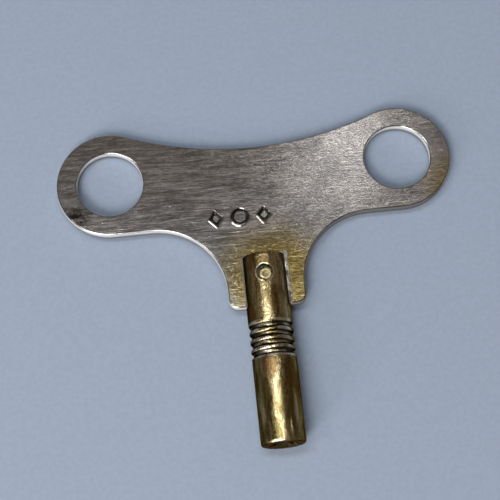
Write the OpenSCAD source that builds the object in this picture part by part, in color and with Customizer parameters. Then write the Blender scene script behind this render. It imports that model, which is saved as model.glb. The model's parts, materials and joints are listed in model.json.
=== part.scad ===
// Clock winding key: flat steel butterfly handle let into a slotted brass barrel,
// held by a cross pin and soft soldered on both faces.
// Frame: origin at the centre of the socket mouth, +Y up the barrel to the handle,
// +X along the handle, +Z out of the front face.  Millimetres.

/* [Handle plate] */
// Distance between the centres of the two handle holes
hole_pitch = 52.6; // [40:0.1:80]
// Diameter of each handle hole
hole_d = 12; // [6:0.1:16]
// Width of metal left round each handle hole
rim_w = 3.7; // [2:0.1:8]
// Height of the hole centres above the socket mouth
hole_y = 50.4; // [44:0.1:80]
// Height of the middle of the dipped top edge above the hole centres
dip_rise = 4.7; // [0:0.1:9]
// Thickness of the plate
plate_t = 2; // [1.2:0.1:3]
// Width of the stem that sits in the barrel
stem_w = 13.8; // [11:0.1:20]
// Height of the lower edge of the stem above the socket mouth
stem_y = 24.8; // [22:0.1:30]
// Radius of the inside corners between the lobes and the stem
fillet_r = 12.7; // [4:0.1:14]
// Radius of the two lower corners of the stem
ear_r = 1.7; // [0.5:0.1:4]

/* [Punch marks] */
// Height of each owner's mark
mark_h = 3.2; // [1.5:0.1:4]
// Width of each lozenge mark
mark_w = 2.6; // [1.2:0.1:4]
// Width of the struck line in each mark
mark_line = 0.55; // [0.3:0.05:0.8]
// Distance from one mark to the next
mark_pitch = 4.35; // [3:0.05:8]
// Position of the middle mark along the handle
mark_x = -3.4; // [-10:0.1:10]
// Height of the row of marks above the socket mouth
mark_y = 41.8; // [38:0.1:50]
// Depth of the marks
mark_depth = 0.3; // [0.1:0.05:0.6]

/* [Barrel] */
// Diameter of the barrel
barrel_d = 7.94; // [6:0.01:12]
// Length of the barrel
barrel_l = 34; // [30:0.1:50]
// Bevel at the socket mouth
mouth_c = 0.4; // [0.1:0.05:1]
// Bevel at the handle end
top_c = 0.2; // [0.1:0.05:0.8]
// Number of turned grooves
groove_n = 4; // [1:1:6]
// Height of the lowest groove above the socket mouth
groove_y = 15.95; // [8:0.05:20]
// Distance from one groove to the next
groove_pitch = 1.6; // [1:0.05:3]
// Radius of the round-nosed tool that cut the grooves
groove_r = 0.5; // [0.2:0.05:1]
// Depth of the grooves
groove_depth = 0.35; // [0.1:0.05:0.7]

/* [Socket] */
// Width across the flats of the square socket
square_w = 3.5; // [3:0.05:6]
// Depth of the square socket
square_l = 13; // [6:0.1:18]
// Diameter of the countersunk lead-in at the mouth
lead_d = 5; // [4:0.1:8]
// Diameter of the drilled hole beyond the square
drill_d = 3.4; // [2:0.1:6]
// Depth of the drilled hole beyond the square
drill_l = 1.6; // [0.5:0.1:3]

/* [Cross pin and solder] */
// Diameter of the cross pin
pin_d = 2.3; // [1:0.1:4]
// Height of the cross pin above the socket mouth
pin_y = 30; // [27:0.1:40]
// How far each end of the pin sits below the barrel surface
pin_sink = 0.3; // [0:0.05:1]
// Countersink added to the radius of the pin hole
pin_csk = 0.35; // [0.1:0.05:0.8]
// Leg of the solder fillet between barrel and plate
bead = 0.55; // [0.3:0.05:1.2]

/* [Hidden] */
$fn = 96;

barrel_r = barrel_d / 2;
pin_r = pin_d / 2;
lobe_r = hole_d / 2 + rim_w;            // outside radius of each lobe
lobe_x = hole_pitch / 2;
low_y = hole_y - lobe_r;                // straight lower edge of the handle
stem_x = stem_w / 2;
flare_y = low_y - fillet_r;             // where the stem sides turn into the corners
// radius of the top edge, tangent to both lobes and passing through the dip
dip_r = (lobe_x * lobe_x + dip_rise * dip_rise - lobe_r * lobe_r) / (2 * (lobe_r - dip_rise));
dip_y = hole_y + dip_rise + dip_r;      // centre of that arc
share = lobe_r / (lobe_r + dip_r);
touch_x = lobe_x * (1 - share);         // where arc and lobe meet
touch_y = hole_y + (dip_y - hole_y) * share;
seat_x = sqrt(barrel_r * barrel_r - plate_t * plate_t / 4);  // barrel wall at the plate face
eps = 0.01;

steel = [0.56, 0.55, 0.53];
brass = [0.62, 0.52, 0.27];
pin_brass = [0.70, 0.60, 0.33];
solder = [0.76, 0.75, 0.71];

// turns a shape standing on Z so that it runs along +Y
module along_barrel() { rotate([-90, 0, 0]) children(); }

// ---- handle plate ----

module lobes() {
    for (s = [-1, 1]) translate([s * lobe_x, hole_y]) circle(r = lobe_r);
}

module bridge() {
    difference() {
        polygon([[-lobe_x, low_y], [lobe_x, low_y], [lobe_x, hole_y], [touch_x, touch_y],
                 [-touch_x, touch_y], [-lobe_x, hole_y]]);
        translate([0, dip_y]) circle(r = dip_r, $fn = 360);
    }
}

module stem() {
    flare_x = stem_x + fillet_r;
    difference() {
        translate([-flare_x, flare_y]) square([2 * flare_x, fillet_r + 1]);
        for (s = [-1, 1]) translate([s * flare_x, flare_y]) circle(r = fillet_r);
    }
    translate([-stem_x, stem_y + ear_r]) square([stem_w, flare_y - stem_y - ear_r + 1]);
    translate([-stem_x + ear_r, stem_y]) square([stem_w - 2 * ear_r, ear_r + 1]);
    for (s = [-1, 1]) translate([s * (stem_x - ear_r), stem_y + ear_r]) circle(r = ear_r);
}

// a closed struck line: four sides make a lozenge, many sides a ring
module mark_cut(x, wide, sides) {
    inner_h = mark_h - 2 * mark_line;
    translate([x, mark_y, plate_t / 2 - mark_depth]) difference() {
        linear_extrude(1) scale([wide / mark_h, 1]) circle(d = mark_h, $fn = sides);
        translate([0, 0, -eps]) linear_extrude(2)
            scale([(wide - 2 * mark_line) / inner_h, 1]) circle(d = inner_h, $fn = sides);
    }
}

module handle_plate() {
    color(steel) difference() {
        linear_extrude(plate_t, center = true) union() { lobes(); bridge(); stem(); }
        for (s = [-1, 1]) translate([s * lobe_x, hole_y, 0])
            cylinder(h = plate_t + 1, d = hole_d, center = true);
        translate([0, pin_y, 0]) cylinder(h = plate_t + 1, r = pin_r, center = true);
        // lozenge, ring, lozenge
        for (s = [-1, 1]) mark_cut(mark_x + s * mark_pitch, mark_w, 4);
        mark_cut(mark_x, mark_h, 96);
    }
}

// ---- barrel ----

module turned_blank() {
    rotate_extrude()
        polygon([[0, 0], [barrel_r - mouth_c, 0], [barrel_r, mouth_c],
                 [barrel_r, barrel_l - top_c], [barrel_r - top_c, barrel_l], [0, barrel_l]]);
}

module grooves() {
    for (i = [0 : groove_n - 1]) rotate_extrude()
        translate([barrel_r + groove_r - groove_depth, groove_y + i * groove_pitch])
            circle(r = groove_r, $fn = 48);
}

module socket_cut() {
    lead_l = (lead_d - square_w) / 2;   // 45 degree countersink down to the flats
    translate([-square_w / 2, -square_w / 2, -eps]) cube([square_w, square_w, square_l + eps]);
    translate([0, 0, -eps])
        cylinder(h = lead_l + eps, r1 = lead_d / 2 + eps, r2 = square_w / 2);
    translate([0, 0, square_l - 1]) cylinder(h = drill_l + 1, d = drill_d);
    translate([0, 0, square_l + drill_l])
        cylinder(h = drill_d * 0.3, r1 = drill_d / 2, r2 = 0);
}

module barrel() {
    color(brass) difference() {
        along_barrel() difference() { turned_blank(); grooves(); socket_cut(); }
        translate([-barrel_r - 1, stem_y, -plate_t / 2])
            cube([barrel_d + 2, barrel_l - stem_y + 1, plate_t]);
        translate([0, pin_y, 0]) cylinder(h = barrel_d + 1, r = pin_r, center = true);
        for (s = [0, 180]) translate([0, pin_y, 0]) rotate([0, s, 0])
            translate([0, 0, barrel_r - pin_csk])
                cylinder(h = 2 * pin_csk, r1 = pin_r, r2 = pin_r + 2 * pin_csk);
    }
}

// ---- cross pin and solder ----

module cross_pin() {
    color(pin_brass) translate([0, pin_y, 0])
        cylinder(h = barrel_d - 2 * pin_sink, r = pin_r, center = true);
}

// three straight fillets and two quarter-round corners, trimmed to the barrel
module solder_bead() {
    inner = 0.6;                        // reaches in under the barrel wall before trimming
    slope = [[-inner, 0], [bead, 0], [0, bead], [-inner, bead]];
    difference() {
        union() {
            for (s = [-1, 1]) {
                translate([s * seat_x, stem_y, plate_t / 2]) mirror([s < 0 ? 1 : 0, 0, 0])
                    rotate([90, 0, 0]) mirror([0, 0, 1])
                        linear_extrude(barrel_l - stem_y) polygon(slope);
                translate([s * seat_x, barrel_l, plate_t / 2]) mirror([s < 0 ? 1 : 0, 0, 0])
                    rotate_extrude(angle = 90) polygon([[0, 0], [bead, 0], [0, bead]]);
            }
            translate([-seat_x, barrel_l, plate_t / 2]) rotate([90, 0, 90])
                linear_extrude(2 * seat_x) polygon(slope);
        }
        along_barrel() turned_blank();
    }
}

module solder_bead_front() { color(solder) solder_bead(); }

module solder_bead_back() { color(solder) mirror([0, 0, 1]) solder_bead(); }

handle_plate();
barrel();
cross_pin();
solder_bead_front();
solder_bead_back();
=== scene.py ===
import json
import math

import bmesh
import bpy
from mathutils import Matrix, Vector, noise


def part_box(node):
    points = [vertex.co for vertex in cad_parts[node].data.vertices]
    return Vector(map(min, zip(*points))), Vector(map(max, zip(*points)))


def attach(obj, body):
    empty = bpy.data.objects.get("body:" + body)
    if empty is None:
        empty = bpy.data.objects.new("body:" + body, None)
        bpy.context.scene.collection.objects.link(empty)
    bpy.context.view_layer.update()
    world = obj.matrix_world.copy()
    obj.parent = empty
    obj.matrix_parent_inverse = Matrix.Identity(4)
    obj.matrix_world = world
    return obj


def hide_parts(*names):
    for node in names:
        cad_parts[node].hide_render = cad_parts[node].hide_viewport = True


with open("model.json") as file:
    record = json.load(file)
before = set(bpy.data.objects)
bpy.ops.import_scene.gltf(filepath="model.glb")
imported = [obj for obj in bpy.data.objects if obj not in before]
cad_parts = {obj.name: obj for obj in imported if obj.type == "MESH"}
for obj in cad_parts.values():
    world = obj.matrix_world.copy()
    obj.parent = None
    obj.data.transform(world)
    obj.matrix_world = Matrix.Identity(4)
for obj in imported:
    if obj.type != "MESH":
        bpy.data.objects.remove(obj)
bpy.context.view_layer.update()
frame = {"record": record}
mm = 0.001

plateLow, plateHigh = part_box("handle_plate")
barrelLow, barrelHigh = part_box("barrel")
pinLow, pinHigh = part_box("cross_pin")
mounts = {m["name"]: m for m in frame["record"]["mounts"]}


# small drawing helpers: a pen that leaves edges behind it

def penLine(bm, vert, to, steps=1):
    step = (Vector(to) - vert.co) / steps
    for _ in range(steps):
        vert = bmesh.ops.extrude_vert_indiv(bm, verts=[vert])["verts"][0]
        bmesh.ops.translate(bm, verts=[vert], vec=step)
    return vert


def penArc(bm, vert, centre, degrees, steps):
    turned = bmesh.ops.spin(bm, geom=[vert], cent=centre, axis=(0, 0, 1), dvec=(0, 0, 0),
                            angle=math.radians(degrees), steps=steps, use_duplicate=False)
    return [g for g in turned["geom_last"] if isinstance(g, bmesh.types.BMVert)][0]


def newEdges(bm, before):
    return [e for e in bm.edges if e not in before]


def bridge(bm, loopA, loopB):
    return bmesh.ops.bridge_loops(bm, edges=list(loopA) + list(loopB))["faces"]


def circleLoop(bm, centre, radius, z, segments):
    place = Matrix.Translation((centre[0], centre[1], z))
    verts = bmesh.ops.create_circle(bm, cap_ends=False, radius=radius, segments=segments,
                                    matrix=place)["verts"]
    return list({e for v in verts for e in v.link_edges})


def spinRound(bm, centre, axis, steps):
    # everything drawn so far is a profile, turned once round the axis
    bmesh.ops.spin(bm, geom=list(bm.verts) + list(bm.edges), cent=centre, axis=axis, dvec=(0, 0, 0),
                   angle=2 * math.pi, steps=steps, use_merge=True, use_duplicate=False)


def closeUp(bm):
    bmesh.ops.remove_doubles(bm, verts=bm.verts, dist=1e-7)
    bmesh.ops.recalc_face_normals(bm, faces=bm.faces)


def meshObject(bm, name):
    mesh = bpy.data.meshes.new(name)
    bm.to_mesh(mesh)
    bm.free()
    thing = bpy.data.objects.new(name, mesh)
    bpy.context.scene.collection.objects.link(thing)
    return thing


def finishPiece(bm, name, materials, nodes, sharpAngle, flatAlong=None):
    closeUp(bm)
    for face in bm.faces:
        # wide level faces stay flat, so that a rounded rim doesn't shade across them
        face.smooth = flatAlong is None or abs(face.normal.dot(Vector(flatAlong))) < 0.9999
    for edge in bm.edges:
        angle = edge.calc_face_angle(0)
        edge.smooth = len(edge.link_faces) == 2 and angle < math.radians(sharpAngle)
    piece = meshObject(bm, name)
    for material in materials:
        piece.data.materials.append(material)
    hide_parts(*nodes)
    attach(piece, "root")
    print(name, len(piece.data.polygons), "faces")


# node helpers for the materials

def startMaterial(name):
    material = bpy.data.materials.new(name)
    material.use_nodes = True
    tree = material.node_tree
    shader = tree.nodes["Principled BSDF"]
    coords = tree.nodes.new("ShaderNodeTexCoord")
    return material, tree, shader, coords.outputs["Object"]


def feed(tree, socket, value):
    # a socket takes a number, a colour or another node's output
    if isinstance(value, (int, float)):
        socket.default_value = value
    elif isinstance(value, tuple):
        socket.default_value = value if len(value) == 4 else (*value, 1)
    else:
        tree.links.new(value, socket)


def finishMaterial(tree, shader, colour, metallic, roughness, normal=None):
    feed(tree, shader.inputs["Base Color"], colour)
    feed(tree, shader.inputs["Metallic"], metallic)
    feed(tree, shader.inputs["Roughness"], roughness)
    if normal is not None:
        feed(tree, shader.inputs["Normal"], normal)


def mapped(tree, vector, scale=(1, 1, 1), location=(0, 0, 0), rotation=(0, 0, 0)):
    node = tree.nodes.new("ShaderNodeMapping")
    node.inputs["Scale"].default_value = scale
    node.inputs["Location"].default_value = location
    node.inputs["Rotation"].default_value = rotation
    tree.links.new(vector, node.inputs["Vector"])
    return node.outputs["Vector"]


def noiseOf(tree, vector, scale, detail=3.0, roughness=0.55, distortion=0.0):
    node = tree.nodes.new("ShaderNodeTexNoise")
    node.inputs["Scale"].default_value = scale
    node.inputs["Detail"].default_value = detail
    node.inputs["Roughness"].default_value = roughness
    node.inputs["Distortion"].default_value = distortion
    tree.links.new(vector, node.inputs["Vector"])
    return node.outputs["Fac"]


def greyRamp(tree, value, darkAt, dark, lightAt, light):
    node = tree.nodes.new("ShaderNodeValToRGB")
    marks = node.color_ramp.elements
    for mark, place, level in zip(marks, (darkAt, lightAt), (dark, light)):
        mark.position = place
        mark.color = (level, level, level, 1)
    tree.links.new(value, node.inputs["Fac"])
    return node.outputs["Color"]


def mathOf(tree, kind, a, b=0.0, clamp=False):
    node = tree.nodes.new("ShaderNodeMath")
    node.operation = kind
    node.use_clamp = clamp
    for socket, value in zip(node.inputs, (a, b)):
        feed(tree, socket, value)
    return node.outputs["Value"]


def times(tree, a, b, clamp=False):
    return mathOf(tree, "MULTIPLY", a, b, clamp)


def larger(tree, a, b):
    return mathOf(tree, "MAXIMUM", a, b)


def mixColour(tree, amount, a, b, blend="MIX"):
    node = tree.nodes.new("ShaderNodeMix")
    node.data_type = "RGBA"
    node.blend_type = blend
    # a mix node lists its sockets for every data type: 0 is the share, 6 and 7 are the colours
    for place, value in ((0, amount), (6, a), (7, b)):
        feed(tree, node.inputs[place], value)
    return node.outputs[2]


def spotMask(tree, vector, centre, reach, soft=0.5):
    # 1 at the centre falling to 0 at the reach; reach gives the half sizes in x, y, z
    scale = tuple(1 / r for r in reach)
    place = tuple(-c / r for c, r in zip(centre, reach))
    node = tree.nodes.new("ShaderNodeVectorMath")
    node.operation = "LENGTH"
    tree.links.new(mapped(tree, vector, scale, place), node.inputs[0])
    return rangeOf(tree, node.outputs["Value"], soft, 1.0, 1.0, 0.0)


def rangeOf(tree, value, fromLow, fromHigh, toLow, toHigh, smooth=True):
    node = tree.nodes.new("ShaderNodeMapRange")
    node.interpolation_type = "SMOOTHSTEP" if smooth else "LINEAR"
    for name, number in (("From Min", fromLow), ("From Max", fromHigh),
                         ("To Min", toLow), ("To Max", toHigh)):
        node.inputs[name].default_value = number
    tree.links.new(value, node.inputs["Value"])
    return node.outputs["Result"]


def bumpOf(tree, height, strength, distance, normal=None):
    node = tree.nodes.new("ShaderNodeBump")
    node.inputs["Strength"].default_value = strength
    node.inputs["Distance"].default_value = distance
    tree.links.new(height, node.inputs["Height"])
    if normal is not None:
        tree.links.new(normal, node.inputs["Normal"])
    return node.outputs["Normal"]


steelLook = {
    "bare": (0.54, 0.50, 0.475),
    "dull": (0.38, 0.355, 0.34),
    "tarnish": (0.23, 0.165, 0.055),
    "paleTarnish": (0.50, 0.375, 0.145),
    "rust": (0.030, 0.016, 0.010),
    # painted shade for the inside of the struck grooves
    "grimeAndShade": (0.014, 0.013, 0.011),
    "scratch": (0.80, 0.78, 0.75),
    "roughness": (0.13, 0.20),
    "scratches": ((2, 0, 0.675), (-9, 3, 0.70), (38, 7, 0.745)),    # direction, shift, how rare
    # centre and half sizes: tarnish by the barrel and on the right lobe's rim, rust on the left lobe
    "barrelStain": ((1.5 * mm, 30 * mm, 0), (14 * mm, 13.5 * mm, 9 * mm)),
    "rimStain": ((36 * mm, 43.5 * mm, 0), (7.5 * mm, 9 * mm, 9 * mm)),
    "rustBloom": ((-33.0 * mm, 44.3 * mm, 0), (3.6 * mm, 3.4 * mm, 4 * mm)),
}


def scratchLines(tree, place, kinds):
    # thin bright lines in a few directions, as one mask
    length, width = 150, 4600        # noise scales along and across a line
    found = None
    for turn, shift, rare in kinds:
        turned = mapped(tree, place, rotation=(0, 0, math.radians(turn)))
        drawn = mapped(tree, turned, (length, width, width * 0.3), (shift, shift, 0))
        mask = rangeOf(tree, noiseOf(tree, drawn, 1.0, 1, 0.4, 0.25), rare, rare + 0.04, 0, 1)
        found = mask if found is None else larger(tree, found, mask)
    return found


def makeSteel(name, grimeAndShade=0.0):
    look = steelLook
    material, tree, shader, place = startMaterial(name)
    # granular surface, drawn out along the handle
    grain = noiseOf(tree, mapped(tree, place, (0.22, 1, 1)), 5200, 3, 0.7)
    coarse = noiseOf(tree, mapped(tree, place, (0.10, 1, 1)), 2200, 2, 0.6)
    cloudy = noiseOf(tree, place, 120, 5, 0.6)
    scratches = scratchLines(tree, place, look["scratches"])
    base = mixColour(tree, rangeOf(tree, cloudy, 0.36, 0.62, 0, 1), look["dull"], look["bare"])
    base = mixColour(tree, 1.0, base, greyRamp(tree, grain, 0.33, 0.62, 0.66, 1.25), "MULTIPLY")
    base = mixColour(tree, 0.5, base, greyRamp(tree, coarse, 0.35, 0.7, 0.65, 1.2), "MULTIPLY")
    base = mixColour(tree, times(tree, scratches, 0.35), base, look["scratch"])
    # brassy tarnish where the barrel was soldered in, and on the right lobe's rim
    byBarrel = spotMask(tree, place, *look["barrelStain"], 0.35)
    byRim = spotMask(tree, place, *look["rimStain"], 0.3)
    stained = larger(tree, byBarrel, times(tree, byRim, 0.8))
    patchy = rangeOf(tree, noiseOf(tree, place, 520, 5, 0.7), 0.28, 0.46, 0.75, 1.0)
    tint = mixColour(tree, rangeOf(tree, grain, 0.42, 0.66, 0, 1), look["tarnish"], look["paleTarnish"])
    base = mixColour(tree, times(tree, stained, patchy, clamp=True), base, tint)
    # small rust bloom on the left lobe's lower rim
    bloom = spotMask(tree, place, *look["rustBloom"], 0.2)
    rust = times(tree, bloom, rangeOf(tree, noiseOf(tree, place, 1100, 4, 0.7), 0.41, 0.49, 0, 1))
    base = mixColour(tree, rust, base, look["rust"])
    # painted shade inside the struck grooves
    if grimeAndShade:
        base = mixColour(tree, grimeAndShade, base, look["grimeAndShade"])
    low, high = look["roughness"]
    roughness = rangeOf(tree, coarse, 0.3, 0.7, low, high, False)
    relief = bumpOf(tree, grain, 0.5, 0.014 * mm)
    relief = bumpOf(tree, coarse, 0.3, 0.012 * mm, relief)
    relief = bumpOf(tree, scratches, 0.3, 0.004 * mm, relief)
    finishMaterial(tree, shader, base, 1.0, roughness, relief)
    return material


filedLook = {
    "bright": (0.86, 0.87, 0.88),
    "dark": (0.52, 0.52, 0.52),
    "darkening": (0.10, 0.095, 0.085),       # painted shade towards the back, under the right lobe, at the stem's foot
    "metallic": 0.25,            # sheared and filed, so it scatters more than the faces do
    "roughness": 0.55,
    "fullShadeFrom": -0.7 * mm,      # painted shade is full at this height and gone at the next
    "noShadeFrom": 0.45 * mm,
    "lobeSpot": ((31 * mm, 34 * mm, 0), (26 * mm, 12 * mm, 9 * mm)),     # centre and half sizes
    "stemSpot": ((7 * mm, 25 * mm, 0), (4 * mm, 3 * mm, 9 * mm)),
}


def makeFiledEdge(name):
    look = filedLook
    material, tree, shader, place = startMaterial(name)
    strokes = noiseOf(tree, mapped(tree, place, (2600, 2600, 500)), 1.0, 3, 0.6)
    patches = noiseOf(tree, place, 300, 4, 0.6)
    base = mixColour(tree, rangeOf(tree, patches, 0.40, 0.60, 0, 1), look["bright"],
                     tuple(0.9 * c for c in look["bright"]))
    base = mixColour(tree, rangeOf(tree, strokes, 0.58, 0.72, 0, 0.6), base, look["dark"])
    parts = tree.nodes.new("ShaderNodeSeparateXYZ")
    tree.links.new(place, parts.inputs[0])
    # painted shade: darker towards the back face
    low = rangeOf(tree, parts.outputs["Z"], look["fullShadeFrom"], look["noShadeFrom"], 0.92, 0)
    base = mixColour(tree, low, base, look["darkening"])
    # painted shade under the right lobe and at the stem's foot
    byLobe = spotMask(tree, place, *look["lobeSpot"], 0.8)
    byStem = spotMask(tree, place, *look["stemSpot"], 0.5)
    darkening = larger(tree, byLobe, times(tree, byStem, 0.8))
    base = mixColour(tree, times(tree, darkening, 0.88), base, look["darkening"])
    relief = bumpOf(tree, strokes, 0.4, 0.03 * mm)
    finishMaterial(tree, shader, base, look["metallic"], look["roughness"], relief)
    return material


brassLook = {
    "bare": (0.50, 0.385, 0.205),
    "patina": (0.18, 0.130, 0.042),
    "brown": (0.17, 0.085, 0.026),
    "edge": (0.28, 0.23, 0.15),          # how strongly it mirrors at a glancing view
    # dark colour for dirt in the pits, and painted shade on the groove walls, the left flank, the socket
    # and the pin hole's gap
    "grimeAndShade": (0.022, 0.017, 0.010),
    "worn": (0.74, 0.67, 0.53),          # greyed high spots on the turned beads
    "rim": (0.85, 0.76, 0.52),           # painted highlight on the mouth's edge; on the pin hole's rubbed edge it is partly a painted highlight
    "roughness": (0.18, 0.30),
}
# where the painted shade, the painted highlight and the rubbed places lie: pairs are where a mask starts
# and where it ends
barrelWearAndPaintedLight = {
    "bandFade": 0.3 * mm,
    "wallFrom": (0.07 * mm, 0.12 * mm),          # depths below the barrel's surface
    "wallTo": (0.35 * mm, 0.40 * mm),
    "mouthHeight": (0.35 * mm, 0.6 * mm),
    "mouthDepth": (0.46 * mm, 0.36 * mm),
    "mouthSpot": ((-0.7 * mm, 0.3 * mm, 3.9 * mm), (2.3 * mm, 2 * mm, 2 * mm)),
    "flank": (-3.7 * mm, -2.5 * mm),
    "endFace": (0.10 * mm, 0.25 * mm),
    "socketRadius": (2.45 * mm, 2.6 * mm),
    "socketStart": (0.5 * mm, 2.5 * mm),
    "socketEnd": (17 * mm, 18 * mm),
}


def makeBrass(name, grooves, pinHoleRing):
    # grooves: radius of the barrel, first and last height of the turned band
    # the last argument: centre and radius of the painted shade in the gap round the cross pin, with a pale
    # rim just beyond
    look, wearAndPaintedLight = brassLook, barrelWearAndPaintedLight
    material, tree, shader, place = startMaterial(name)
    streaks = noiseOf(tree, mapped(tree, place, (1, 0.2, 1)), 700, 4, 0.6, 0.3)
    patches = noiseOf(tree, mapped(tree, place, (1, 0.4, 1)), 300, 4, 0.6)
    grain = noiseOf(tree, mapped(tree, place, (1, 0.6, 1)), 3600, 3, 0.7)
    pits = noiseOf(tree, place, 1500, 3, 0.6)
    base = mixColour(tree, rangeOf(tree, streaks, 0.38, 0.62, 0, 1), look["patina"], look["bare"])
    base = mixColour(tree, times(tree, rangeOf(tree, patches, 0.50, 0.62, 0, 1), 0.8), base, look["brown"])
    base = mixColour(tree, 1.0, base, greyRamp(tree, grain, 0.34, 0.62, 0.64, 1.28), "MULTIPLY")
    base = mixColour(tree, rangeOf(tree, pits, 0.66, 0.74, 0, 0.75), base, look["grimeAndShade"])
    radius, low, high = grooves
    parts = tree.nodes.new("ShaderNodeSeparateXYZ")
    tree.links.new(place, parts.inputs[0])
    x, y, z = parts.outputs
    out = mathOf(tree, "SQRT", mathOf(tree, "ADD", times(tree, x, x), times(tree, z, z)))
    # painted shade darkens the groove walls; the beads and groove bottoms are rubbed bright
    band = times(tree, rangeOf(tree, y, low - wearAndPaintedLight["bandFade"], low, 0, 1),
                 rangeOf(tree, y, high, high + wearAndPaintedLight["bandFade"], 1, 0))
    depth = mathOf(tree, "SUBTRACT", radius, out)
    wall = times(tree, rangeOf(tree, depth, *wearAndPaintedLight["wallFrom"], 0, 1),
                 rangeOf(tree, depth, *wearAndPaintedLight["wallTo"], 1, 0))
    worn = noiseOf(tree, mapped(tree, place, (1, 0.7, 1)), 420, 3, 0.6)
    base = mixColour(tree, times(tree, band, rangeOf(tree, worn, 0.40, 0.56, 0, 0.9)), base, look["worn"])
    base = mixColour(tree, times(tree, times(tree, wall, band), 0.94), base, look["grimeAndShade"])
    # painted shade darkens the left flank
    base = mixColour(tree, rangeOf(tree, x, *wearAndPaintedLight["flank"], 0.6, 0), base, look["grimeAndShade"])
    # painted highlight: a pale patch on the mouth's front edge
    inner, outer = (radius - deep for deep in wearAndPaintedLight["mouthDepth"])
    mouth = times(tree, rangeOf(tree, y, *wearAndPaintedLight["mouthHeight"], 0.85, 0),
                  rangeOf(tree, out, inner, outer, 0, 1))
    mouthHighlight = times(tree, mouth, spotMask(tree, place, *wearAndPaintedLight["mouthSpot"], 0.4))
    base = mixColour(tree, mouthHighlight, base, look["rim"])
    # painted shade darkens the end face and the socket inside it
    base = mixColour(tree, rangeOf(tree, y, *wearAndPaintedLight["endFace"], 0.45, 0), base, look["brown"])
    inside = times(tree, rangeOf(tree, out, *wearAndPaintedLight["socketRadius"], 0.9, 0),
                   rangeOf(tree, y, *wearAndPaintedLight["socketStart"], 0.5, 1))
    inside = times(tree, inside, rangeOf(tree, y, *wearAndPaintedLight["socketEnd"], 1, 0))
    base = mixColour(tree, inside, base, look["grimeAndShade"])
    # pale rim of the pin hole, a rubbed edge that is partly a painted highlight, then painted shade in the
    # gap inside it
    (gapX, gapY), reach = pinHoleRing
    for size, soft, share, colour in ((reach * 1.15, 0.97, 0.8, look["rim"]),
                                      (reach, 0.98, 0.97, look["grimeAndShade"])):
        ring = spotMask(tree, place, (gapX, gapY, 0), (size, size, 1), soft)
        base = mixColour(tree, times(tree, ring, share), base, colour)
    shader.inputs["Specular Tint"].default_value = (*look["edge"], 1)
    low, high = look["roughness"]
    roughness = rangeOf(tree, patches, 0.35, 0.68, low, high)
    relief = bumpOf(tree, streaks, 0.3, 0.03 * mm)
    relief = bumpOf(tree, grain, 0.9, 0.05 * mm, relief)
    relief = bumpOf(tree, pits, 0.5, 0.04 * mm, relief)
    finishMaterial(tree, shader, base, 1.0, roughness, relief)
    return material


pinLook = {
    "rim": (0.50, 0.39, 0.19),
    "middle": (0.30, 0.235, 0.12),
    "pits": (0.03, 0.025, 0.015),
    "roughness": 0.36,
}


def makePinBrass(name, centre, radius):
    look = pinLook
    material, tree, shader, place = startMaterial(name)
    lumps = noiseOf(tree, place, 2300, 3, 0.65)
    middle = spotMask(tree, place, (centre.x, centre.y, 0), (radius * 0.74, radius * 0.74, 1), 0.7)
    base = mixColour(tree, middle, look["rim"], look["middle"])
    base = mixColour(tree, rangeOf(tree, lumps, 0.50, 0.60, 0, 0.85), base, look["pits"])
    finishMaterial(tree, shader, base, 1.0, look["roughness"], bumpOf(tree, lumps, 0.6, 0.06 * mm))
    return material


solderLook = {
    "bright": (0.93, 0.92, 0.89),
    "dull": (0.52, 0.50, 0.45),
    # painted shade on the left side, and dirt in patches
    "darkening": (0.06, 0.05, 0.035),
    "metallic": 0.35,
    "roughness": 0.36,
    "leftSpot": ((-4.9 * mm, 28 * mm, 0), (2.6 * mm, 9 * mm, 8 * mm)),   # centre and half sizes
}


def makeSolder(name):
    look = solderLook
    material, tree, shader, place = startMaterial(name)
    lumps = noiseOf(tree, place, 900, 4, 0.6)
    base = mixColour(tree, rangeOf(tree, lumps, 0.36, 0.58, 0, 1), look["dull"], look["bright"])
    # painted shade darkens the left side; dirt fills patches along the top
    left = spotMask(tree, place, *look["leftSpot"], 0.6)
    gaps = rangeOf(tree, noiseOf(tree, place, 560, 3, 0.6), 0.47, 0.57, 0, 0.8)
    base = mixColour(tree, larger(tree, times(tree, left, 0.85), gaps), base, look["darkening"])
    relief = bumpOf(tree, lumps, 0.5, 0.12 * mm)
    finishMaterial(tree, shader, base, look["metallic"], look["roughness"], relief)
    return material


pinCentre = (pinLow + pinHigh) / 2
pinGap = {
    "shift": (-0.20 * mm, 0.20 * mm),    # the hole was drilled a little up and to the left of the pin
    "extra": 0.33 * mm,          # how much wider than the pin the hole is at the surface, in radius
    "depth": 0.75 * mm,
    "edge": 0.13 * mm,           # rubbed edge of the hole
    # the edge's section, in edge widths: out from the hole and up from the barrel's surface
    "edgeSection": ((3, 0.6), (1.2, -0.02), (0.5, -0.4), (0.12, -1), (0, -2.2)),
    # how far the gap's painted shade reaches beyond the hole's edge
    "shadeBeyond": 0.03 * mm,
}
gapCentre = (pinCentre.x + pinGap["shift"][0], pinCentre.y + pinGap["shift"][1])
steel = makeSteel("brushed handle steel")
struckSteel = makeSteel("struck steel with painted groove shade", grimeAndShade=0.78)
filedEdge = makeFiledEdge("filed steel edge")
grooveBand = (15.2 * mm, 21.6 * mm)
barrelBrass = makeBrass("patinated barrel brass", (barrelHigh.x, *grooveBand),
                        (gapCentre, pinHigh.x + pinGap["extra"] + pinGap["shadeBeyond"]))
pinBrass = makePinBrass("filed pin brass", pinCentre, pinHigh.x)
solderMetal = makeSolder("dull soft solder")
print("materials made")

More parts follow.
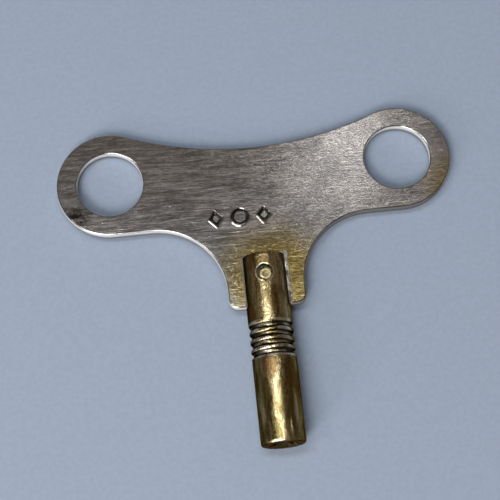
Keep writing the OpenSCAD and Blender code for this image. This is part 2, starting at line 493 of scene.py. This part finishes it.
handleShape = {
    "holeLeft": Vector(mounts["handle_hole_left"]["pos_m"]),
    "holeRight": Vector(mounts["handle_hole_right"]["pos_m"]),
    "holeRadius": mounts["handle_hole_right"]["dims"]["r_mm"] * mm,
    "dipRise": 4.7 * mm,         # middle of the top edge above the hole centres
    "stemWidth": 13.8 * mm,
    "insideCorner": 12.7 * mm,
    "stemCorner": 1.7 * mm,
    "frontEdge": 0.26 * mm,      # worn rounding on the front
    "backEdge": 0.16 * mm,
}


def handleOutline(bm, inset, z):
    # right half drawn from the foot of the stem to the middle of the dip, then mirrored
    shape = handleShape
    before = set(bm.edges)
    holeX, holeY = shape["holeRight"].x, shape["holeRight"].y
    lobe = plateHigh.x - holeX
    rise = shape["dipRise"]
    dip = (holeX ** 2 + rise ** 2 - lobe ** 2) / (2 * (lobe - rise))
    dipY = holeY + rise + dip
    corner, foot, stem = shape["insideCorner"], shape["stemCorner"], shape["stemWidth"] / 2
    lowY = holeY - lobe
    lift = math.degrees(math.atan2(dipY - holeY, holeX))     # from lobe centre towards the dip's centre
    vert = bm.verts.new((0, plateLow.y + inset, z))
    vert = penLine(bm, vert, (stem - foot, plateLow.y + inset, z), 6)
    vert = penArc(bm, vert, (stem - foot, plateLow.y + foot, z), 90, 8)
    vert = penLine(bm, vert, (stem - inset, lowY - corner, z), 3)
    vert = penArc(bm, vert, (stem + corner, lowY - corner, z), -90, 30)
    vert = penLine(bm, vert, (holeX, lowY + inset, z), 8)
    vert = penArc(bm, vert, (holeX, holeY, z), 270 - lift, 64)
    vert = penArc(bm, vert, (0, dipY, z), -(90 - lift), 28)
    half = newEdges(bm, before)
    verts = list({v for e in half for v in e.verts})
    bmesh.ops.mirror(bm, geom=verts + half, matrix=Matrix.Identity(4), merge_dist=1e-6, axis="X")
    return newEdges(bm, before)


struckMarks = {
    "centre": (-3.4 * mm, 41.8 * mm),
    "pitch": 4.35 * mm,
    "height": 3.2 * mm,
    "width": 2.6 * mm,
    "order": ("lozenge", "ring", "lozenge"),
    "tilt": (4, 0, -5),          # degrees, each struck by hand
    # rings of the groove from outside in: distance beyond its edge, and height from the plate's face
    "steps": ((0.27, 0), (0.21, 0.03), (0.14, 0.085), (0.08, 0.105), (0.01, 0.06), (-0.06, -0.20),
              (-0.16, -0.30), (-0.28, -0.29), (-0.38, -0.12), (-0.45, 0.03), (-0.54, 0)),
    "lipRings": 4,               # outer rings that keep the plain steel, outside the painted groove shade
    "corner": 0.22 * mm,         # rounding of a lozenge's corners
    "cutAbove": 0.6 * mm,        # a longer edge of a lozenge is cut up
}


def strikeMark(bm, kind, centre, tilt):
    # returns the outer edges, which become a hole in the front face, and the groove's faces
    shape = struckMarks
    face = plateHigh.z
    tall, wide = shape["height"] / 2, shape["width"] / 2
    outer, groove, loop = None, [], None
    across = tall if kind == "ring" else tall * wide / math.hypot(tall, wide)
    leaning = Matrix.Rotation(math.radians(tilt), 3, "Z")
    for ring, (beyond, lift) in enumerate(shape["steps"]):
        size, lift = 1 + beyond * mm / across, lift * mm
        before = set(bm.edges)
        if kind == "ring":
            circleLoop(bm, centre, tall * size, face + lift, 40)
        else:
            verts = bmesh.ops.create_circle(bm, cap_ends=False, radius=tall * size, segments=4)["verts"]
            bmesh.ops.bevel(bm, geom=verts, offset=shape["corner"] * size, offset_type="OFFSET",
                            segments=3, profile=0.5, affect="VERTICES", material=-1)
            sides = [e for e in newEdges(bm, before) if e.calc_length() > shape["cutAbove"]]
            bmesh.ops.subdivide_edges(bm, edges=sides, cuts=6)
            fresh = list({v for e in newEdges(bm, before) for v in e.verts})
            bmesh.ops.scale(bm, verts=fresh, vec=(wide / tall, 1, 1))
            bmesh.ops.rotate(bm, verts=fresh, cent=(0, 0, 0), matrix=leaning)
            bmesh.ops.translate(bm, verts=fresh, vec=(centre[0], centre[1], face + lift))
        edges = newEdges(bm, before)
        if loop is None:
            outer = edges
        else:
            made = bridge(bm, loop, edges)
            if ring > shape["lipRings"]:
                groove += made
        loop = edges
    bmesh.ops.triangle_fill(bm, use_beauty=True, use_dissolve=True, edges=loop, normal=(0, 0, 1))
    return outer, groove


def makeHandlePlate():
    shape = handleShape
    bm = bmesh.new()
    front, back = plateHigh.z, plateLow.z
    # inset and height of each ring round the rim, front to back
    rings = []
    for edge, face, inward, turns in ((shape["frontEdge"], front, -1, (0, 30, 60, 90)),
                                      (shape["backEdge"], back, 1, (90, 45, 0))):
        for a in (math.radians(turn) for turn in turns):
            rings.append((edge * (1 - math.sin(a)), face + inward * edge * (1 - math.cos(a))))
    loops = []
    for inset, z in rings:
        radius = shape["holeRadius"] + inset
        holes = [circleLoop(bm, shape[side], radius, z, 96) for side in ("holeLeft", "holeRight")]
        loops.append([handleOutline(bm, inset, z)] + holes)
    filedLevels = (2, 3, 4)      # the steep strips between rings, the others belong to the faces
    for level, (upper, lower) in enumerate(zip(loops, loops[1:])):
        for a, b in zip(upper, lower):
            for face in bridge(bm, a, b):
                face.material_index = 2 if level in filedLevels else 0
    pinFront = circleLoop(bm, pinCentre, pinHigh.x, front, 48)
    pinBack = circleLoop(bm, pinCentre, pinHigh.x, back, 48)
    bridge(bm, pinFront, pinBack)
    marks, struck = [], []
    for i, kind in enumerate(struckMarks["order"]):
        centre = (struckMarks["centre"][0] + (i - 1) * struckMarks["pitch"], struckMarks["centre"][1])
        outer, groove = strikeMark(bm, kind, centre, struckMarks["tilt"][i])
        marks += outer
        struck += groove
    for face in struck:
        face.material_index = 1
    for edges, up in ((sum(loops[0], []) + pinFront + marks, 1), (sum(loops[-1], []) + pinBack, -1)):
        bmesh.ops.triangle_fill(bm, use_beauty=True, use_dissolve=False, edges=edges, normal=(0, 0, up))
    finishPiece(bm, "steel_handle", [steel, struckSteel, filedEdge], ["handle_plate"], 40,
                flatAlong=(0, 0, 1))


makeHandlePlate()

barrelShape = {
    "mouthBevel": 0.4 * mm,
    "topBevel": 0.2 * mm,
    # the bevels' sections, in bevel widths: in from the barrel's surface and back from its end
    "mouthSection": ((1, 0), (0.35, 0.22), (0.08, 0.62), (0, 1.2)),
    "topSection": ((0.3, 0.3), (1.3, 0)),
    "grooves": (15.95 * mm, 17.55 * mm, 19.15 * mm, 20.75 * mm),
    "grooveWidth": 0.84 * mm,
    "grooveDepth": 0.35 * mm,
    # height in half widths from the middle of the groove, and how much of the depth
    "grooveSection": ((-1.45, 0.02), (-1.28, 0.10), (-1.08, 0.33), (-0.78, 0.70), (-0.50, 0.93),
                      (-0.28, 0.99), (0.0, 1.0), (0.28, 0.99), (0.50, 0.93), (0.78, 0.70),
                      (1.08, 0.33), (1.28, 0.10), (1.45, 0.02)),
    "segments": 144,
    "square": 3.5 * mm,
    "squareCorner": 0.12 * mm,
    "squareDepth": 13 * mm,
    "lead": 5 * mm,              # countersunk mouth of the socket
    "drill": 3.4 * mm,
    "drillDepth": 1.6 * mm,
    "lip": 0.06 * mm,            # rubbed edge of the countersink
    "slotFrom": plateLow.y,
    "slotHalfWidth": 6 * mm,     # of the slot's cutter, so wider than the barrel
    "clear": 1 * mm,             # how far a cutter starts outside the metal
    "wear": 0.006 * mm,
    "grooveWander": 0.20 * mm,
    "beadWear": 0.07 * mm,
}


def makeBarrel():
    shape = barrelShape
    bm = bmesh.new()
    radius, length = barrelHigh.x, barrelHigh.y
    bevel, top = shape["mouthBevel"], shape["topBevel"]
    # profile in the XY plane: x is the radius, y runs up the barrel
    vert = bm.verts.new((0, 0, 0))
    vert = penLine(bm, vert, (shape["lead"] / 2 + 0.3 * mm, 0, 0), 4)
    for inward, along in shape["mouthSection"]:
        vert = penLine(bm, vert, (radius - bevel * inward, bevel * along, 0))
    half, depth = shape["grooveWidth"] / 2, shape["grooveDepth"]
    vert = penLine(bm, vert, (radius, shape["grooves"][0] - half * 1.5, 0), 42)
    for y in shape["grooves"]:
        for out, down in shape["grooveSection"]:
            vert = penLine(bm, vert, (radius - depth * down, y + half * out, 0))
        vert = penLine(bm, vert, (radius, y + half * 1.5, 0))
    vert = penLine(bm, vert, (radius, length - top * 1.3, 0), 34)
    for inward, along in shape["topSection"]:
        vert = penLine(bm, vert, (radius - top * inward, length - top * along, 0))
    penLine(bm, vert, (0, length, 0), 3)
    spinRound(bm, (0, 0, 0), (0, 1, 0), shape["segments"])
    closeUp(bm)
    wearBarrel(bm, radius)
    blank = meshObject(bm, "barrelBlank")
    carved = carve(blank, [slotCutter(), pinCutter(), squareCutter(), drillCutter()])
    finishPiece(carved, "brass_barrel", [barrelBrass], ["barrel"], 35)


dents = (
    # angle round the barrel from the front in degrees, then height, half width, half height, depth in mm
    (20, 2.9, 0.36, 1.9, 0.18),
    (-24, 7.6, 0.5, 0.7, 0.03),
    (14, 11.5, 0.6, 0.9, 0.03),
    (-40, 3.0, 0.6, 1.4, 0.04),
    (20, 26.5, 0.7, 0.8, 0.02),
)


def wearBarrel(bm, radius):
    shape = barrelShape
    first, last = shape["grooves"][0] - 1 * mm, shape["grooves"][-1] + 1 * mm
    for vert in bm.verts:
        x, y, z = vert.co
        r = math.hypot(x, z)
        if r < radius - 0.6 * mm:
            continue
        angle = math.atan2(x, z)
        ring = Vector((math.sin(angle) * 2.2, y / mm * 0.45, math.cos(angle) * 2.2))
        out = (noise.noise(ring) - 0.6) * shape["wear"]
        if first < y < last:
            # hand turned: the grooves wander a little and the beads between them are unequal
            fine = Vector((math.sin(angle) * 1.1, y / mm * 0.9, math.cos(angle) * 1.1))
            vert.co.y += noise.noise(fine + Vector((7, 3, 1))) * shape["grooveWander"]
            out += (noise.noise(fine * 1.5) - 0.45) * shape["beadWear"]
        for turn, height, wide, tall, deep in dents:
            across = (angle - math.radians(turn)) * radius / mm / wide
            along = (y / mm - height) / tall
            out -= deep * mm * math.exp(-(across ** 2 + along ** 2))
        r = min(r + out, radius)
        vert.co.x, vert.co.z = math.sin(angle) * r, math.cos(angle) * r


def cutterObject(bm, name):
    closeUp(bm)
    return meshObject(bm, name)


def blockBetween(bm, low, high):
    middle, size = (low + high) / 2, high - low
    bmesh.ops.create_cube(bm, size=1, matrix=Matrix.Translation(middle) @ Matrix.Diagonal((*size, 1)))


def slotCutter():
    bm = bmesh.new()
    half = barrelShape["slotHalfWidth"]
    blockBetween(bm, Vector((-half, barrelShape["slotFrom"], plateLow.z)),
                 Vector((half, barrelHigh.y + 2 * barrelShape["clear"], plateHigh.z)))
    return cutterObject(bm, "slotCutter")


def pinCutter():
    # the pin hole, spun about its own axis and wider than the pin near both ends
    bm = bmesh.new()
    end, wide, edge = barrelHigh.z, pinHigh.x + pinGap["extra"], pinGap["edge"]
    floor, tip = end - pinGap["depth"], end + barrelShape["clear"]
    centre = Vector((gapCentre[0], gapCentre[1], 0))
    half = [(wide + edge * out, end + edge * up) for out, up in pinGap["edgeSection"]]
    half = [(half[0][0], tip)] + half + [(wide, floor), (pinHigh.x * 0.8, floor)]
    vert = bm.verts.new(centre - Vector((0, 0, tip)))
    for x, z in [(x, -z) for x, z in half] + half[::-1] + [(0, tip)]:
        vert = penLine(bm, vert, centre + Vector((x, 0, z)))
    spinRound(bm, centre, (0, 0, 1), 64)
    return cutterObject(bm, "pinCutter")


def squareCutter():
    # the broached square, with its corners a little rounded
    shape = barrelShape
    bm = bmesh.new()
    half = shape["square"] / 2
    blockBetween(bm, Vector((-half, -shape["clear"], -half)), Vector((half, shape["squareDepth"], half)))
    corners = [e for e in bm.edges if e.verts[0].co.y * e.verts[1].co.y < 0]     # those along the barrel
    bmesh.ops.bevel(bm, geom=corners, offset=shape["squareCorner"], offset_type="OFFSET", segments=3,
                    profile=0.5, affect="EDGES", material=-1)
    return cutterObject(bm, "squareCutter")


def drillCutter():
    # the countersunk mouth with its rubbed lip, and the drilled end behind the square
    shape = barrelShape
    bm = bmesh.new()
    lead, drill, lip = shape["lead"] / 2, shape["drill"] / 2, shape["lip"]
    outside, inside = -shape["clear"], shape["squareDepth"] - shape["clear"]
    bottom = shape["squareDepth"] + shape["drillDepth"]
    mouth = ((lead + lip * 2, outside), (lead + lip * 2, -lip), (lead + lip, lip * 0.3), (lead, lip * 1.2),
             (0, lead + lip * 1.2))
    end = ((drill, inside), (drill, bottom), (0, bottom + drill * 0.6))
    for first, points in ((outside, mouth), (inside, end)):
        vert = bm.verts.new((0, first, 0))
        for x, y in points:
            vert = penLine(bm, vert, (x, y, 0))
    spinRound(bm, (0, 0, 0), (0, 1, 0), 96)
    return cutterObject(bm, "drillCutter")


def carve(blank, cutters):
    for cutter in cutters:
        cut = blank.modifiers.new(cutter.name, "BOOLEAN")
        cut.operation = "DIFFERENCE"
        cut.solver = "EXACT"
        cut.object = cutter
    bpy.context.view_layer.update()
    evaluated = blank.evaluated_get(bpy.context.evaluated_depsgraph_get())
    bm = bmesh.new()
    bm.from_mesh(evaluated.to_mesh())
    evaluated.to_mesh_clear()
    for used in [blank] + cutters:
        mesh = used.data
        bpy.data.objects.remove(used)
        bpy.data.meshes.remove(mesh)
    return bm


makeBarrel()

pinShape = {"segments": 64, "edge": 0.16 * mm, "dish": 0.05 * mm}


def makePin():
    bm = bmesh.new()
    centre = pinCentre
    r, edge, dish = pinHigh.x, pinShape["edge"], pinShape["dish"]
    # filed ends, slightly dished in the middle and rounded over at the edge: radius and depth
    end = [(0, dish), (r * 0.25, dish * 0.9), (r * 0.5, dish * 0.4), (r * 0.72, 0),
           (r - edge * 0.6, edge * 0.12), (r - edge * 0.15, edge * 0.5), (r, edge)]
    points = [(x, pinLow.z + deep) for x, deep in end] + [(x, pinHigh.z - deep) for x, deep in end[::-1]]
    vert = bm.verts.new((0, centre.y, points[0][1]))
    for x, z in points[1:]:
        vert = penLine(bm, vert, (x, centre.y, z))
    spinRound(bm, centre, (0, 0, 1), pinShape["segments"])
    finishPiece(bm, "brass_pin", [pinBrass], ["cross_pin"], 50)


makePin()

beadShape = {
    "leg": 0.38 * mm,
    # the section in leg lengths: out from the barrel's wall and up from the plate
    "section": ((1, 0), (0.86, 0.10), (0.45, 0.32), (0.12, 0.68), (-0.10, 1)),
    "bury": 0.35 * mm,           # how far it runs in under the barrel's wall
    "step": 0.3 * mm,
    "lump": 0.10 * mm,
    "foot": 0.02 * mm,           # lower than this the bead stays on the plate
    "start": 0.05 * mm,          # above the stem's end
    # how full the bead is down the left, round the top and down the right
    "leftSize": 0.5,
    "topSize": 1.5,
    "rightSize": 1.0,
}


def makeBead(name, node, side):
    # a fillet section run up one side, round the top corners and down the other side
    shape = beadShape
    bm = bmesh.new()
    leg, bury = shape["leg"], shape["bury"]
    face = plateHigh.z
    seat = math.sqrt(barrelHigh.x ** 2 - face ** 2)
    start, end = plateLow.y + shape["start"], barrelHigh.y
    vert = first = bm.verts.new((seat - bury, start, face))
    for out, up in [(leg * out, leg * up) for out, up in shape["section"]] + [(-bury, leg)]:
        vert = penLine(bm, vert, (seat + out, start, face + up))
    bm.edges.new((vert, first))
    bmesh.ops.contextual_create(bm, geom=list(bm.edges))
    section = list(bm.faces)

    def run(section, vec, steps):
        for _ in range(steps):
            made = bmesh.ops.extrude_face_region(bm, geom=section)["geom"]
            bmesh.ops.delete(bm, geom=section, context="FACES_ONLY")
            section = [g for g in made if isinstance(g, bmesh.types.BMFace)]
            verts = list({v for f in section for v in f.verts})
            bmesh.ops.translate(bm, verts=verts, vec=Vector(vec) / steps)
        return section

    section[0].copy()            # stays behind and closes the bead's first end
    section = run(section, (0, end - start, 0), round((end - start) / shape["step"]))
    for corner, away in ((seat, (-2 * seat, 0, 0)), (-seat, (0, start - end, 0))):
        turned = bmesh.ops.spin(bm, geom=section, cent=(corner, end, 0), axis=(0, 0, 1),
                                dvec=(0, 0, 0), angle=math.pi / 2, steps=8, use_duplicate=False)
        section = [g for g in turned["geom_last"] if isinstance(g, bmesh.types.BMFace)]
        section = run(section, away, round(Vector(away).length / shape["step"]))
    bmesh.ops.remove_doubles(bm, verts=bm.verts, dist=1e-7)
    for vert in bm.verts:
        # an uneven bead: thin on the left, fuller on the right, keeping its foot on the seam
        share = min(1, max(0, (vert.co.x / seat + 1) / 2))
        size = shape["leftSize"] + (shape["rightSize"] - shape["leftSize"]) * share
        topSize = shape["topSize"] * (0.5 + share / 2)
        for axis, seam, full in ((0, seat, size), (0, -seat, size), (1, end, topSize)):
            beyond = vert.co[axis] - seam
            if beyond * seam > 0:
                vert.co[axis] = seam + beyond * full
        vert.co.z = face + (vert.co.z - face) * size
        spot = vert.co / mm
        if vert.co.z > face + shape["foot"]:
            vert.co.z += (noise.noise(spot * 1.3) * 0.8 + noise.noise(spot * 3.1) * 0.4) * shape["lump"]
        vert.co.x += noise.noise(spot * 0.9 + Vector((5, 0, 0))) * shape["lump"]
        vert.co.y += noise.noise(spot * 0.9 + Vector((0, 9, 0))) * shape["lump"]
    if side < 0:
        bmesh.ops.scale(bm, verts=bm.verts, vec=(1, 1, -1))
    finishPiece(bm, name, [solderMetal], [node], 60)


makeBead("solder_front", "solder_bead_front", 1)
makeBead("solder_back", "solder_bead_back", -1)

roomLook = {
    "floor": (0.30, 0.355, 0.45),
    "floorShade": 0.94,          # the darker specks' share of the floor's colour
    "floorRoughness": 0.8,
    "floorSize": 4.0,
    "floorGap": 0.02 * mm,
    "sky": (1.0, 0.88, 0.78),
    "skyStrength": 0.145,
}


def makeFloor():
    # the key lies on its mouth rim and the far edges of the lobes
    bm = bmesh.new()
    mouth = Vector((0, barrelShape["mouthBevel"], barrelLow.z))
    far = Vector((0, plateHigh.y, plateLow.z))
    slope = math.atan2(far.z - mouth.z, far.y - mouth.y)
    under = Matrix.Translation(mouth - Vector((0, 0, roomLook["floorGap"])))
    bmesh.ops.create_grid(bm, x_segments=8, y_segments=8, size=roomLook["floorSize"] / 2,
                          matrix=under @ Matrix.Rotation(slope, 4, "X"))
    floor = meshObject(bm, "studioFloor")
    material, tree, shader, place = startMaterial("pale floor")
    specks = rangeOf(tree, noiseOf(tree, place, 1200, 2, 0.5), 0.3, 0.7, 0, 1)
    darker = tuple(roomLook["floorShade"] * c for c in roomLook["floor"])
    finishMaterial(tree, shader, mixColour(tree, specks, darker, roomLook["floor"]), 0.0,
                   roomLook["floorRoughness"])
    floor.data.materials.append(material)


makeFloor()

lights = {
    # name: position, size x, size y, turn in its own plane in degrees, power, colour, aimed at
    "softFront": ((-0.26, -0.50, 0.60), 0.36, 0.36, 0, 4.7, (1.0, 0.98, 0.96), (0, 0.03, 0)),
    "lowLeft": ((-0.62, -0.62, 0.30), 0.25, 0.25, 0, 2.5, (1.0, 0.98, 0.96), (0, 0.03, 0)),
    "leftLip": ((-0.50, -0.16, 0.57), 0.16, 0.16, 0, 0.7, (1.0, 0.98, 0.96), (0, 0.03, 0)),
    "sheenHigh": ((0.069, 0.245, 0.47), 0.022, 0.028, -25, 0.0135, (0.94, 0.97, 1.0), (0.017, 0.054, 0)),
    "sheenLow": ((0.052, 0.198, 0.47), 0.018, 0.024, -22, 0.0016, (0.94, 0.97, 1.0), (0.011, 0.042, 0)),
    "rightGlow": ((0.112, 0.222, 0.47), 0.06, 0.10, 0, 0.0024, (0.98, 0.98, 1.0), (0.026, 0.048, 0)),
    "crestPanel": ((-0.080, 0.086, 0.47), 0.33, 0.060, 0, 0.80, (0.84, 0.93, 1.0), (0, 0.012, 0)),
}


def makeLights():
    for name, (place, wide, tall, turn, power, colour, target) in lights.items():
        lamp = bpy.data.lights.new(name, "AREA")
        lamp.shape = "RECTANGLE"
        lamp.size, lamp.size_y = wide, tall
        lamp.energy = power
        lamp.color = colour
        thing = bpy.data.objects.new(name, lamp)
        thing.location = place
        away = (Vector(place) - Vector(target)).normalized()
        up = away.cross(Vector((1, 0, 0))).normalized()
        facing = Matrix((up.cross(away), up, away)).transposed()
        thing.rotation_euler = (facing @ Matrix.Rotation(math.radians(turn), 3, "Z")).to_euler()
        bpy.context.scene.collection.objects.link(thing)
    world = bpy.data.worlds.new("studio")
    bpy.context.scene.world = world
    world.use_nodes = True
    background = world.node_tree.nodes["Background"]
    background.inputs["Color"].default_value = (*roomLook["sky"], 1)
    background.inputs["Strength"].default_value = roomLook["skyStrength"]


makeLights()

cameraSetup = {
    "lens": 104.7,
    "sensor": 36,
    "clip": (0.01, 20),
    "place": (-0.00993, -0.04443, 0.24862),
    "turn": (17.936, 0.124, -5.889),
}


def makeCamera():
    camera = bpy.data.cameras.new("camera")
    camera.lens = cameraSetup["lens"]
    camera.sensor_width = cameraSetup["sensor"]
    camera.clip_start, camera.clip_end = cameraSetup["clip"]
    thing = bpy.data.objects.new("camera", camera)
    thing.location = cameraSetup["place"]
    thing.rotation_euler = [math.radians(a) for a in cameraSetup["turn"]]
    bpy.context.scene.collection.objects.link(thing)
    bpy.context.scene.camera = thing


makeCamera()
bpy.context.scene.view_settings.view_transform = "Standard"
print("studio set")
